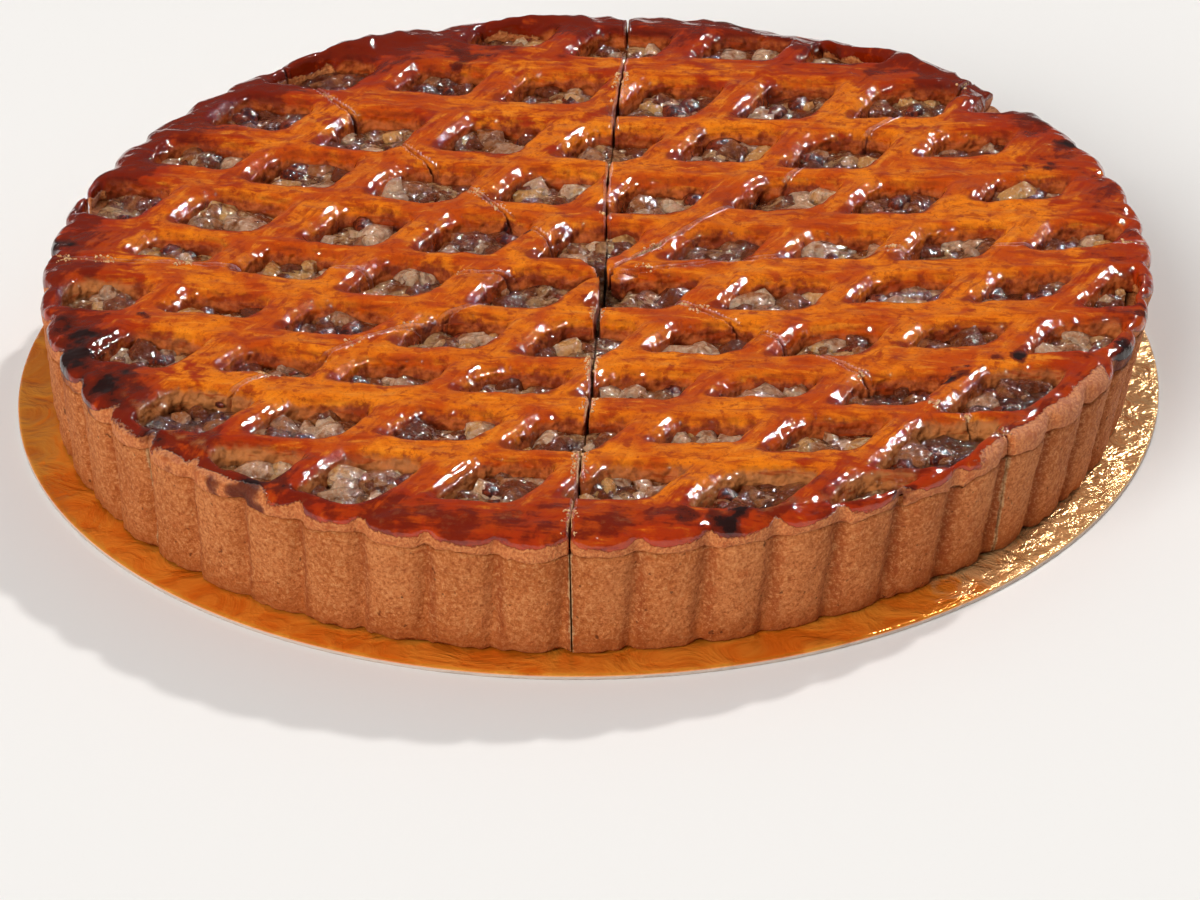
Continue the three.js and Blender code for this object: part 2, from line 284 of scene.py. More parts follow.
def distanceToCuts(xy):
    nearest = np.full(len(xy), 99.0)
    for cut in cutLines:
        for a, b in zip(cut["points"], cut["points"][1:]):
            a, b = np.array(a), np.array(b)
            t = np.clip(((xy - a) @ (b - a)) / ((b - a) @ (b - a)), 0, 1)
            away = np.linalg.norm(xy - a - t[:, None] * (b - a), axis=1)
            nearest = np.minimum(nearest, away)
    return nearest


# A closed skin of rings: place gives each point from its turn round the ring and its level
def stackRings(sides, levels, place):
    shape = bmesh.new()
    turn = shape.verts.layers.float.new("turn")
    for vertex in bmesh.ops.create_circle(shape, segments=sides, radius=1)["verts"]:
        vertex[turn] = math.atan2(vertex.co.y, vertex.co.x)
        vertex.co = place(vertex[turn], levels[0])
    rim = list(shape.edges)
    bmesh.ops.contextual_create(shape, geom=rim)
    for level in levels[1:]:
        grown = bmesh.ops.extrude_edge_only(shape, edges=rim)["geom"]
        for vertex in (g for g in grown if isinstance(g, bmesh.types.BMVert)):
            vertex.co = place(vertex[turn], level)
        rim = [g for g in grown if isinstance(g, bmesh.types.BMEdge) and g.is_boundary]
    bmesh.ops.contextual_create(shape, geom=rim)
    bmesh.ops.recalc_face_normals(shape, faces=shape.faces)
    return shape


def addObject(name, data):
    thing = bpy.data.objects.new(name, data)
    scene.collection.objects.link(thing)
    return thing


def newPiece(name, shape):
    mesh = bpy.data.meshes.new(name)
    shape.to_mesh(mesh)
    shape.free()
    return addObject(name, mesh)


# Makes a piece's modifiers part of its mesh
def settle(piece):
    depsgraph = bpy.context.evaluated_depsgraph_get()
    mesh = bpy.data.meshes.new_from_object(piece.evaluated_get(depsgraph))
    piece.modifiers.clear()
    old = piece.data
    piece.data = mesh
    bpy.data.meshes.remove(old)


def cutWith(piece, tool, operation):
    modifier = piece.modifiers.new("cut", "BOOLEAN")
    modifier.operation = operation
    modifier.solver = "MANIFOLD"
    modifier.object = tool
    settle(piece)


def discard(*pieces):
    for piece in pieces:
        bpy.data.objects.remove(piece)


# The prism that one slice fills, with its cuts open by a share of their full gape
def makeWedge(k, share):
    first, second = cutLines[k:k + 2]
    bisector = (first["direction"] + second["direction"]).normalized()
    sine = abs(first["direction"].cross(bisector))
    tip = first["start"] + bisector * (share * cuts["openMiddle"] / 2 / sine)
    corner = first["start"] + bisector * cuts["reach"] * cuts["beyond"]
    outline = [tip] + roughCut(first, 1, share) + [corner] + roughCut(second, -1, share)[::-1]
    shape = bmesh.new()
    ring = [shape.verts.new((point.x, point.y, -cuts["below"])) for point in outline]
    face = shape.faces.new(ring)
    grown = bmesh.ops.extrude_face_region(shape, geom=[face])["geom"]
    lifted = [g for g in grown if isinstance(g, bmesh.types.BMVert)]
    bmesh.ops.translate(shape, verts=lifted, vec=(0, 0, cuts["height"]))
    bmesh.ops.triangulate(shape, faces=[f for f in shape.faces if len(f.verts) > 4])
    bmesh.ops.recalc_face_normals(shape, faces=shape.faces)
    return newPiece("wedge", shape)


crustWedges = [makeWedge(k, 1.0) for k in range(len(sliceNames))]
caseWedges = [makeWedge(k, 0.5) for k in range(len(sliceNames))]
print("knife cuts made")


# A piece's points and its normals
def meshArrays(piece):
    arrays = []
    for name in ("co", "normal"):
        values = np.empty(len(piece.data.vertices) * 3, dtype=np.float32)
        piece.data.vertices.foreach_get(name, values)
        arrays.append(values.reshape(-1, 3).astype(float))
    return arrays


def movePoints(piece, points):
    piece.data.vertices.foreach_set("co", points.astype(np.float32).ravel())
    piece.data.update()


def writeValues(piece, **fields):
    for name, values in fields.items():
        attribute = piece.data.attributes.new(name, "FLOAT", "POINT")
        attribute.data.foreach_set("value", values.astype(np.float32))


def fieldOfNoise(points, size, seed):
    return np.array([noise.noise(Vector((x / size, y / size, z / size + seed))) for x, y, z in points])


# From millimetres to metres, smooth shaded, riding on the tart's one body
def finishPiece(piece, material, node):
    piece.data.transform(Matrix.Scale(mm, 4))
    piece.data.shade_smooth()
    piece.data.materials.clear()
    piece.data.materials.append(material)
    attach(piece, "root")
    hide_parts(node)


# One socket of a shader tree, with sums written as plain expressions
class Wire:
    def __init__(self, tree, socket=None):
        self.tree, self.socket = tree, socket

    # Any node: its settings come first, then the values or wires of its sockets
    def node(self, kind, settings=None, sockets=None, out=0):
        new = self.tree.nodes.new("ShaderNode" + kind)
        for key, value in (settings or {}).items():
            setattr(new, key, value)
        for key, value in (sockets or {}).items():
            if isinstance(value, Wire):
                self.tree.links.new(value.socket, new.inputs[key])
            elif isinstance(value, tuple) and len(value) == 3 and new.inputs[key].type == "RGBA":
                new.inputs[key].default_value = (*value, 1)
            else:
                new.inputs[key].default_value = value
        return Wire(self.tree, new.outputs[out] if new.outputs else None)

    def math(self, operation, *values):
        return self.node("Math", {"operation": operation}, dict(enumerate(values)))

    def __add__(self, other):
        return self.math("ADD", self, other)

    def __sub__(self, other):
        return self.math("SUBTRACT", self, other)

    def __rsub__(self, other):
        return self.math("SUBTRACT", other, self)

    def __mul__(self, other):
        return self.math("MULTIPLY", self, other)

    __radd__ = __add__
    __rmul__ = __mul__

    def most(self, other):
        return self.math("MAXIMUM", self, other)

    # From 0 at low to 1 at high, eased at both ends
    def ramp(self, low, high):
        return self.node("MapRange", {"interpolation_type": "SMOOTHSTEP"}, {0: self, 1: low, 2: high})

    def noise(self, scale, detail, roughness, distortion=0.0):
        sockets = {"Vector": self, "Scale": scale, "Detail": detail, "Roughness": roughness,
                   "Distortion": distortion}
        return self.node("TexNoise", {}, sockets)

    # Draws a pattern out along a direction in the plane, given in degrees
    def drawnOut(self, length, turn):
        sockets = {"Vector": self, "Rotation": (0.0, 0.0, math.radians(turn)), "Scale": (length, 1.0, 1.0)}
        return self.node("Mapping", {"vector_type": "TEXTURE"}, sockets)

    # The numbers that a piece carries at its points, by name
    def values(self, *names):
        return [self.node("Attribute", {"attribute_name": name}, out=2) for name in names]

    # The first colour where the mask is 0 and the second where it is 1
    def colour(self, first, second, mask):
        return self.node("Mix", {"data_type": "RGBA"}, {0: mask, 6: first, 7: second}, out=2)

    # This colour under layers, each a colour and the mask that shows it
    def under(self, *layers):
        top = self
        for other, mask in layers:
            top = self.colour(top, other, mask)
        return top

    def bump(self, height, strength, distance):
        return self.node("Bump", {}, {"Height": height, "Strength": strength, "Distance": distance})


# A material. Its paint function gets the place on the object and gives what goes into the sockets.
def newMaterial(name, paint):
    material = bpy.data.materials.new(name)
    material.use_nodes = True
    material.node_tree.nodes.clear()
    place = Wire(material.node_tree).node("TexCoord", out=3)
    shader = place.node("BsdfPrincipled", {}, paint(place))
    place.node("OutputMaterial", {}, {"Surface": shader})
    return material


# Egg-glazed pastry: orange-brown with brush streaks, browner inside the windows with painted shade near black
# at the foot of their walls, a dark band round each window that is browning all round and painted shade at
# its near edge, bare on the outside, pale where the knife went and near black where it caught
def paintGlaze(place):
    depth, bar, knife, side = place.values("depth", "bar", "knife", "side")
    rim, burn, pale, edge, cut = place.values("rim", "burn", "pale", "edge", "cut")
    broad, patch = place.noise(48, 4, 0.55), place.noise(115, 4, 0.6)
    mottle, fine = place.noise(300, 5, 0.62), place.noise(1300, 3, 0.65)
    strokes = place.drawnOut(5.0, -8).noise(420, 4, 0.62, 0.4)
    leaning = place.drawnOut(5.0, 59).noise(420, 4, 0.62, 0.4)
    brushed = strokes + (leaning - strokes) * bar
    darkened = rim + (patch - 0.5) * 2.2 + (brushed - 0.5) * 1.2
    orange = (broad * 0.5 + patch * 0.5).ramp(0.42, 0.58)
    glaze = place.colour((0.5, 0.062, 0.001), (0.8, 0.2, 0.004), orange).under(
        ((0.33, 0.03, 0.001), brushed.ramp(0.52, 0.66) * 0.7),
        ((0.9, 0.31, 0.018), (1 - brushed).ramp(0.54, 0.7) * 0.5),
        ((0.4, 0.032, 0.001), patch.ramp(0.53, 0.66) * 0.5),
        ((0.32, 0.03, 0.001), mottle.ramp(0.54, 0.66) * 0.75),
        ((0.3, 0.03, 0.001), fine.ramp(0.54, 0.64) * 0.35),
        # Dark band round each window: browning along the edge all round, and painted shade that is strongest
        # at the window's near edge
        ((0.24, 0.016, 0.0005), (edge + (patch - 0.5) * 1.5).ramp(0.3, 0.75) * 0.85),
        ((0.34, 0.02, 0.0005), darkened.ramp(0.4, 0.78) * 0.85),
        ((0.13, 0.006, 0.0005), darkened.ramp(0.85, 1.25) * 0.85))
    brown = (mottle * 0.6 + patch * 0.4).ramp(0.42, 0.58)
    wall = place.colour((0.46, 0.1, 0.022), (0.2, 0.028, 0.007), brown).under(
        ((0.52, 0.2, 0.06), (pale + (broad - 0.5) * 1.6).ramp(0.4, 1.0) * 0.75),
        ((0.3, 0.032, 0.002), brushed.ramp(0.54, 0.64) * 0.65),
        # Painted shade: near black creeping up from the foot of the window walls, where the crust meets the
        # filling
        ((0.08, 0.012, 0.004), (depth + (patch - 0.5) * 0.8).ramp(0.72, 1.0) * 0.85))
    inWindow = depth + pale * 0.14 + (patch - 0.5) * 0.5 + (mottle - 0.5) * 0.4
    bare = place.colour((0.5, 0.13, 0.032), (0.68, 0.24, 0.075), fine.ramp(0.4, 0.6)).under(
        ((0.42, 0.08, 0.016), mottle.ramp(0.52, 0.68) * 0.6))
    bareShare = (side + (patch - 0.5) * 1.1 + (mottle - 0.5) * 0.6 + (fine - 0.5) * 0.5).ramp(0.42, 0.6)
    crumb = place.colour((0.5, 0.2, 0.06), (0.82, 0.54, 0.27), fine.ramp(0.4, 0.6))
    torn = (knife + (fine - 0.5) * 1.6 + (mottle - 0.5)).ramp(0.5, 0.85)
    char = (burn + (patch - 0.5) * 1.3 + (mottle - 0.5) * 0.9) * (1 - bareShare * 0.45)
    colour = glaze.under(
        (wall, inWindow.ramp(0.2, 0.46)),
        (bare, bareShare),
        (crumb, torn),
        ((0.1, 0.008, 0.0015), char.ramp(0.28, 0.6) * 0.9),
        ((0.016, 0.003, 0.0022), char.ramp(0.62, 0.95)))
    dull = torn.most(bareShare).most(cut)
    ripple, pit = place.noise(340, 1, 0.5), place.noise(900, 1, 0.5)
    flank = depth.ramp(0.02, 0.3)
    relief = ripple * (0.3 + flank * 2.0) + pit * (0.06 + flank * 0.3) + brushed * 0.12 + fine * dull * 0.8
    return {
        "Base Color": colour,
        "Roughness": 0.07 + dull * 0.65 + mottle.ramp(0.5, 0.8) * 0.12,
        "Coat Weight": (1 - dull) * 0.1,
        "Coat Roughness": 0.03,
        "Specular IOR Level": 0.55,
        "Normal": place.bump(relief, 0.9, 0.0013),
    }


# Bare sandy shortcrust, with painted shade darkening the flute valleys
def paintShortcrust(place):
    knife, valley, low = place.values("knife", "valley", "low")
    broad, mottle = place.noise(45, 4, 0.55), place.noise(300, 5, 0.65)
    sand, speck = place.noise(1000, 5, 0.85), place.noise(520, 2, 0.5)
    crumb = place.colour((0.46, 0.19, 0.06), (0.76, 0.48, 0.24), sand.ramp(0.4, 0.6))
    warm = (broad * 0.6 + mottle * 0.4).ramp(0.4, 0.6)
    colour = place.colour((0.56, 0.15, 0.034), (0.7, 0.225, 0.066), warm).under(
        # Painted shade: darker brown down in the flute valleys
        ((0.34, 0.06, 0.012), (valley * 0.7 + mottle * 0.6).ramp(0.5, 1.1) * 0.7),
        ((0.92, 0.44, 0.17), sand.ramp(0.5, 0.62) * 0.6),
        ((0.3, 0.045, 0.008), (1 - sand).ramp(0.51, 0.63) * 0.7),
        ((0.48, 0.092, 0.017), mottle.ramp(0.54, 0.7) * 0.6),
        ((0.5, 0.125, 0.025), low * 0.5),
        ((0.09, 0.016, 0.005), speck.ramp(0.69, 0.75) * 0.7),
        (crumb, (knife + (sand - 0.5) * 1.4).ramp(0.45, 0.85) * 0.8))
    return {
        "Base Color": colour,
        "Roughness": 0.66 + mottle * 0.25,
        "Specular IOR Level": 0.3,
        "Normal": place.bump(sand * 0.6 + mottle, 1.0, 0.0014),
    }


# The wet, glistening skin that jelly and cooked apple share
def wetSkin(place, colour, cloudy, fine, waveScale, dropShare):
    relief = place.noise(waveScale, 1, 0.5) + place.noise(1000, 1, 0.5) * dropShare
    return {
        "Base Color": colour,
        "Roughness": 0.05 + fine.ramp(0.5, 0.8) * 0.08,
        "Coat Weight": 0.15 + cloudy * 0.2,
        "Coat Roughness": 0.03,
        "Specular IOR Level": 0.8,
        "Normal": place.bump(relief, 1.0, 0.0032),
    }


def paintJelly(place):
    syrup = place.values("syrup")[0]
    broad = place.noise(90, 3, 0.5)
    cloudy, fine = place.noise(190, 4, 0.6, 0.6), place.noise(620, 4, 0.65)
    colour = place.colour((0.15, 0.036, 0.009), (0.38, 0.2, 0.085), cloudy.ramp(0.42, 0.6)).under(
        ((0.06, 0.009, 0.003), (broad * 0.7 + fine * 0.5 + syrup * 0.28).ramp(0.58, 0.74) * 0.9),
        ((0.58, 0.42, 0.26), fine.ramp(0.58, 0.72) * (1 - syrup) * 0.6))
    return wetSkin(place, colour, cloudy, fine, 380, 0.25)


def paintApple(place):
    tone = place.values("tone")[0]
    cloudy, darkFlecksAndPaintedGlints = place.noise(210, 4, 0.6, 0.8), place.noise(700, 4, 0.65, 0.8)
    pale = (cloudy * 0.6 + tone * 0.4).ramp(0.4, 0.62)
    colour = place.colour((0.28, 0.09, 0.026), (0.57, 0.35, 0.22), pale).under(
        ((0.5, 0.2, 0.015), (tone + cloudy * 0.5).ramp(1.0, 1.16) * 0.7),
        ((0.1, 0.014, 0.004), (1 - tone + (cloudy - 0.5) * 1.2).ramp(0.55, 0.8) * 0.85),
        # Painted highlights: whitish glints on the paler pieces
        ((0.76, 0.64, 0.53), darkFlecksAndPaintedGlints.ramp(0.54, 0.7) * tone * 0.55),
        # Dark flecks in the flesh
        ((0.15, 0.036, 0.01), (1 - darkFlecksAndPaintedGlints).ramp(0.56, 0.7) * 0.3))
    flesh = {"Subsurface Weight": 0.35, "Subsurface Radius": (0.9, 0.5, 0.3), "Subsurface Scale": 0.004}
    return {**flesh, **wetSkin(place, colour, cloudy, darkFlecksAndPaintedGlints, 400, 0.35)}


def paintRaisin(place):
    wrinkle = place.noise(500, 4, 0.6, 1.0)
    return {
        "Base Color": place.colour((0.035, 0.004, 0.0015), (0.2, 0.026, 0.006), wrinkle.ramp(0.35, 0.65)),
        "Roughness": 0.08 + wrinkle * 0.1,
        "Specular IOR Level": 0.8,
        "Coat Weight": 0.1 + wrinkle * 0.2,
        "Coat Roughness": 0.04,
        "Normal": place.bump(wrinkle, 0.8, 0.001),
    }


def paintCrumb(place):
    sand = place.noise(900, 4, 0.6)
    return {
        "Base Color": place.colour((0.46, 0.17, 0.05), (0.8, 0.5, 0.24), sand.ramp(0.4, 0.6)),
        "Roughness": 0.55 + sand * 0.3,
        "Normal": place.bump(sand, 0.5, 0.0005),
    }


# Gold foil on board, crushed on one side and painted paler there as a painted reflection of the bright
# surroundings, with the board showing at the cut edge
def paintGoldCard(place):
    board, crushed = place.values("board", "crushed")
    crinkle, creases = place.noise(75, 4, 0.55, 1.2), place.noise(120, 4, 0.55, 2.0)
    colour = place.colour((0.84, 0.21, 0.013), (0.98, 0.36, 0.038), crinkle.ramp(0.35, 0.65)).under(
        # Painted reflection: the crushed side is painted pale gold as if mirroring the bright surroundings
        ((0.84, 0.48, 0.2), (crushed + (creases - 0.5) * 1.6).ramp(0.3, 0.9)),
        ((0.6, 0.49, 0.42), board))
    return {
        "Base Color": colour,
        "Metallic": (1 - board) * 0.5,
        "Roughness": 0.15 + creases * 0.12 + board * 0.5,
        "Normal": place.bump(crinkle + creases * (0.12 + crushed * 1.6), 0.6, 0.0026),
    }


glazedPastry = newMaterial("glazedPastry", paintGlaze)
shortcrust = newMaterial("shortcrust", paintShortcrust)
appleJelly = newMaterial("appleJelly", paintJelly)
cookedApple = newMaterial("cookedApple", paintApple)
raisinSkin = newMaterial("raisin", paintRaisin)
pastryCrumb = newMaterial("pastryCrumb", paintCrumb)
goldFoil = newMaterial("goldCard", paintGoldCard)
print("materials made")

# The lattice crust. A level gives height, inset from the side, share of the flutes and of the rim's lift,
# and how far it follows the crack under it. A burn gives its place, size and strength.
crust = {
    "columns": 520, "voxel": 0.75, "smoothing": (0.5, 2),
    "lumps": ((12.0, 0.55, 3), (4.6, 0.3, 7), (2.2, 0.2, 11)), "sideShare": 0.3, "innerBand": (4.5, 7.0),
    "cracks": ((10.0, 1.6, 1.0), (3.0, 0.8, 2.0)),
    "wander": 0.7, "wanderCount": 18, "dent": 1.6, "dentSize": 7.0,
    "knife": (-0.85, -0.35), "edge": (-0.95, -0.5), "crumbField": (0.15, 1.8, 8.0), "crumbDepth": (0.15, 0.4),
    "upward": (0.1, 0.5), "upper": (-0.5, 0.1), "topClean": 0.4,
    "tornPlace": 1.07, "tornSize": 9.0, "edgeBrowningAndShade": (1.2, 2.2, 0.3), "glazeWander": 1.2, "glazeCount": 14,
    "rimShade": (36.0, 4.0, 1.3), "leftRim": (0.1, 215), "backShade": (20, 110, 0.5),
    "leftShade": (30, 120, 0.22), "paleRing": (80, 122), "paleFront": (0.55, 0.45),
    "bareStretches": ((-38, 15, 6.5), (-132, 11, 4.0)), "bareFade": 4.0,
    "burnWanders": ((7.0, 6.0, 21), (2.6, 2.0, 23)),
    "levels": ((0, 7, 0, 0, 0), (0, -0.1, 1, 0, 1), (0.5, -0.1, 1, 0, 0.8),
               (2, -0.05, 1, 0.05, 0.3), (3.6, -0.1, 0.95, 0.3, 0.1), (4.8, 0.35, 0.8, 0.6, 0),
               (5.7, 1.2, 0.55, 0.85, 0), (6.4, 2.5, 0.3, 1, 0), (6.9, 4.6, 0.1, 1, 0),
               (7, 7.4, 0, 0.6, 0), (7, 11, 0, 0, 0)),
    "glazeLine": 33.0, "glazeDrip": 0.9,
    "burns": ((-123, -46, 9.0, 1.15), (-120, -38, 6.5, 1.0), (-114, -62, 8.5, 1.15), (-107, -28, 4.0, 0.9),
              (-125, -32, 6.0, 0.9), (-87, -105, 4.8, 1.15), (-79, -109, 4.8, 1.15), (-103, -84, 4.8, 0.8),
              (-71, -108, 6.4, 0.8), (-96, -92, 4, 0.7), (100, -55, 3.2, 1.15), (128, -50, 4.8, 1.15),
              (33, -126, 5.6, 1.1), (23, -128, 4, 0.8), (71, -114, 4, 0.9), (86, -63, 3.2, 0.7),
              (132, -32, 4, 1), (-130, 33, 7.2, 0.8), (-129, 10, 3.2, 1), (-111, 74, 4.8, 0.9),
              (-105, 87, 5.6, 0.8), (-125, 51, 4.8, 0.9), (-68, 122, 6.4, 0.8), (-31, 110, 5.6, 0.7),
              (-20, 17, 1.9, 0.9), (-16, 13, 1.9, 0.9), (40, 125, 4, 0.8), (64, 113, 4, 0.8),
              (115, 69, 5.6, 0.8), (120, 54, 4.8, 0.8), (115, 42, 3.2, 1)),
}

# Crumbs that the knife left along the cuts. A heap gives its place and its size.
crumbs = {
    "perCut": 700, "size": (0.12, 0.46), "spread": 1.6, "aside": 0.1, "clump": 0.24, "clumpSize": 6.0,
    "heapShare": 0.5, "steepest": 0.8, "above": 60.0, "jagged": (0.6, 0.8), "seed": 301,
    "frontWidth": 14.0, "frontStart": -20.0,
    "heaps": ((88, -84, 13), (99, -94, 8), (116, 7, 7), (130, -1, 7), (102, 84, 9), (-50, 40, 8)),
}


# How thickly crumbs lie at a place: all along the front cut, and in a few heaps elsewhere
def crumbHeaps(x, y):
    thick = np.exp(-((x - axisX) / crumbs["frontWidth"]) ** 2) * (y < crumbs["frontStart"])
    for heapX, heapY, size in crumbs["heaps"]:
        thick = thick + np.exp(-((x - heapX) ** 2 + (y - heapY) ** 2) / size ** 2)
    return np.minimum(thick, 1.0)


# The hairline crack under the crust rises and falls as it runs round
def crackWander(angle):
    x, y = rimRadius * math.cos(angle), rimRadius * math.sin(angle)
    return sum(height * flatNoise(x, y, size, seed) for size, height, seed in crust["cracks"])


def crustPlace(angle, level):
    height, inset, fluteShare, liftShare, crackShare = level
    z = latticeLow + height
    radius = sideRadius(angle, z, tart["fluteDepth"] * fluteShare) - inset
    point = onTart(angle, radius, z)
    wander = roundNoise(angle, crust["wanderCount"], height)
    dent = abs(flatNoise(point.x, point.y, crust["dentSize"], 6.0))
    lift = rimLift(angle) + crust["wander"] * wander - crust["dent"] * dent
    point.z += liftShare * lift + crackShare * crackWander(angle)
    return point


def windowPlug(window):
    w = windows
    above, widest = w["plugTop"]
    levels = [(latticeLow - w["plugBelow"], 0.0)]
    for k in range(w["bends"] + 1):
        bend = math.radians(90 * k / w["bends"])
        levels.append((tart["top"] - w["flareDepth"] * (1 - math.sin(bend)), 1 - math.cos(bend)))
    levels.append((tart["top"] + above, widest))

    def place(angle, level):
        z, flare = level
        return windowPoint(window, angle, w["flareAlong"] * flare, w["flareAcross"] * flare, z)
    return stackRings(w["sides"], levels, place)


# Windows that share an edge go into different tools, so that no tool overlaps itself
def openWindows(sheet):
    for parity in range(4):
        shape = bmesh.new()
        for window in laidWindows:
            if window["group"] == parity:
                mesh = bpy.data.meshes.new("plug")
                plug = windowPlug(window)
                plug.to_mesh(mesh)
                plug.free()
                shape.from_mesh(mesh)
                bpy.data.meshes.remove(mesh)
        tool = newPiece("plugs", shape)
        cutWith(sheet, tool, "DIFFERENCE")
        discard(tool)


# Keeps only a piece's largest body
def dropScraps(piece):
    shape = bmesh.new()
    shape.from_mesh(piece.data)
    left, bodies = set(shape.verts), []
    while left:
        body, front = set(), {left.pop()}
        while front:
            vertex = front.pop()
            body.add(vertex)
            front |= {edge.other_vert(vertex) for edge in vertex.link_edges} - body
        left -= body
        bodies.append(body)
    largest = max(bodies, key=len)
    scraps = [vertex for vertex in shape.verts if vertex not in largest]
    bmesh.ops.delete(shape, geom=scraps, context="VERTS")
    shape.to_mesh(piece.data)
    shape.free()


def remesh(piece):
    even = piece.modifiers.new("even", "REMESH")
    even.mode = "VOXEL"
    even.voxel_size = crust["voxel"]
    soften = piece.modifiers.new("soften", "SMOOTH")
    soften.factor, soften.iterations = crust["smoothing"]
    settle(piece)


# 0 on top of the crust and 1 at its underside
def depthIn(points):
    return np.clip((tart["top"] - points[:, 2]) / tart["latticeThickness"], 0, 1)


def roughen(piece, points, normals, share):
    for size, height, seed in crust["lumps"]:
        points += normals * (height * share * fieldOfNoise(points, size, seed))[:, None]
    movePoints(piece, points)


# How much pale crumb the knife left at each point, and all of it where the broken window was torn
def crumbliness(points, xy, upward, toCut):
    least, most, size = crust["crumbField"]
    clumps = least + most * fieldOfNoise(points, size, 31) + crumbHeaps(xy[:, 0], xy[:, 1])
    knife = smoothRamp(-toCut, *crust["knife"]) * (1 - crust["topClean"] * upward)
    knife *= np.clip(clumps, 0, 1) * (1 - smoothRamp(depthIn(points), *crust["crumbDepth"]))
    for window in laidWindows:
        if window["broken"]:
            torn = window["middle"] * crust["tornPlace"]
            knife = np.maximum(knife, np.exp(-((xy - torn) ** 2).sum(axis=1) / crust["tornSize"] ** 2))
    return knife


# 1 on the bare pastry of the side and of the rim's bare stretches, 0 under the glaze
def bareness(points, angle, fromAxis, inside):
    line = np.array([crust["glazeLine"] + crust["glazeDrip"] * (2 * fluteValley(a) - 1)
                     + crust["glazeWander"] * roundNoise(a, crust["glazeCount"], 3) for a in angle])
    side = np.clip((line - points[:, 2]) / 3 + 0.5, 0, 1) * (1 - inside)
    for middle, halfWidth, reach in crust["bareStretches"]:
        aside = np.abs((np.degrees(angle) - middle + 180) % 360 - 180)
        inner = rimRadius - reach
        outer = smoothRamp(fromAxis, inner, inner + crust["bareFade"])
        side = np.maximum(side, outer * (1 - smoothRamp(aside, halfWidth * 0.5, halfWidth)))
    return side


# Darker towards the rim, most at the front left, and all over the back and the left
def rimShade(xy, angle, fromAxis):
    start, end, power = crust["rimShade"]
    share, middle = crust["leftRim"]
    rim = smoothRamp(fromAxis, rimRadius - start, rimRadius - end) ** power
    rim = rim * (1 + share * np.cos(angle - math.radians(middle)))
    for place, (low, high, strength) in ((xy[:, 1], crust["backShade"]), (-xy[:, 0], crust["leftShade"])):
        rim += strength * smoothRamp(place, low, high)
    return rim


def burntness(points, xy):
    burn = np.zeros(len(points))
    for size, reach, seed in crust["burnWanders"]:
        moved = [fieldOfNoise(points, size, seed), fieldOfNoise(points, size, seed + 1)]
        xy = xy + np.stack(moved, axis=1) * reach
    for x, y, size, strength in crust["burns"]:
        burn = np.maximum(burn, strength * np.exp(-((xy[:, 0] - x) ** 2 + (xy[:, 1] - y) ** 2) / size ** 2))
    return burn


def dressCrust(piece):
    points, normals = meshArrays(piece)
    xy = points[:, :2].copy()
    toCut = distanceToCuts(xy)
    knife = crumbliness(points, xy, smoothRamp(normals[:, 2], *crust["upward"]), toCut)
    fromAxis = np.hypot(xy[:, 0] - axisX, xy[:, 1])
    angle = np.arctan2(xy[:, 1], xy[:, 0] - axisX)
    outermost, innermost = crust["innerBand"]
    inside = smoothRamp(-fromAxis, outermost - rimRadius, innermost - rimRadius)
    upper = smoothRamp(normals[:, 2], *crust["upper"])
    roughen(piece, points, normals, upper * (crust["sideShare"] + (1 - crust["sideShare"]) * inside))
    away, bar, front = windowDistance(xy)[:3]
    middle, width, least = crust["edgeBrowningAndShade"]
    paleness, paleTurn = crust["paleFront"]
    writeValues(
        piece,
        # depth: 0 on the crust's top to 1 at its underside; it also drives the painted shade at the foot of
        # the window walls
        depth=depthIn(points) * inside,
        bar=bar,
        # edge: browning round every window, plus painted shade at the window's near edge
        edge=np.exp(-((away - middle) / width) ** 2) * (least + (1 - least) * front),
        knife=knife,
        cut=smoothRamp(-toCut, *crust["edge"]),
        side=bareness(points, angle, fromAxis, inside),
        rim=rimShade(xy, angle, fromAxis),
        pale=smoothRamp(fromAxis, *crust["paleRing"]) * (paleness - paleTurn * np.sin(angle)),
        burn=burntness(points, xy),
    )


def addCrumb(shape, centre, size, draw):
    made = bmesh.ops.create_icosphere(shape, subdivisions=1, radius=size)["verts"]
    for vertex in made:
        vertex.co = vertex.co * (crumbs["jagged"][0] + crumbs["jagged"][1] * draw()) + centre


# Lets crumbs fall on one slice beside its two cuts
def scatterCrumbs(k, piece, draw):
    mesh = piece.data
    surface = BVHTree.FromPolygons([v.co for v in mesh.vertices], [f.vertices for f in mesh.polygons])
    smallest, largest = crumbs["size"]
    shape = bmesh.new()
    for cut, side in zip(cutLines[k:k + 2], (1, -1)):
        chain = cut["points"]
        for n in range(crumbs["perCut"]):
            along = draw() * rimRadius / cuts["reach"] * (len(chain) - 1)
            step = int(along)
            place = chain[step].lerp(chain[step + 1], along - step)
            clump = flatNoise(place.x, place.y, crumbs["clumpSize"], 8.0)
            clump += crumbs["heapShare"] * crumbHeaps(place.x, place.y)
            aside = side * (crumbs["aside"] + cuts["gapes"][cut["line"]] / 2 + crumbs["spread"] * draw() ** 2)
            size = smallest + (largest - smallest) * draw() ** 2
            place = place + cut["sideways"] * aside
            hit, normal = surface.ray_cast(Vector((*place, crumbs["above"])), Vector((0, 0, -1)))[:2]
            if hit is not None and normal.z > crumbs["steepest"] and clump > crumbs["clump"]:
                addCrumb(shape, hit, size, draw)
    return shape


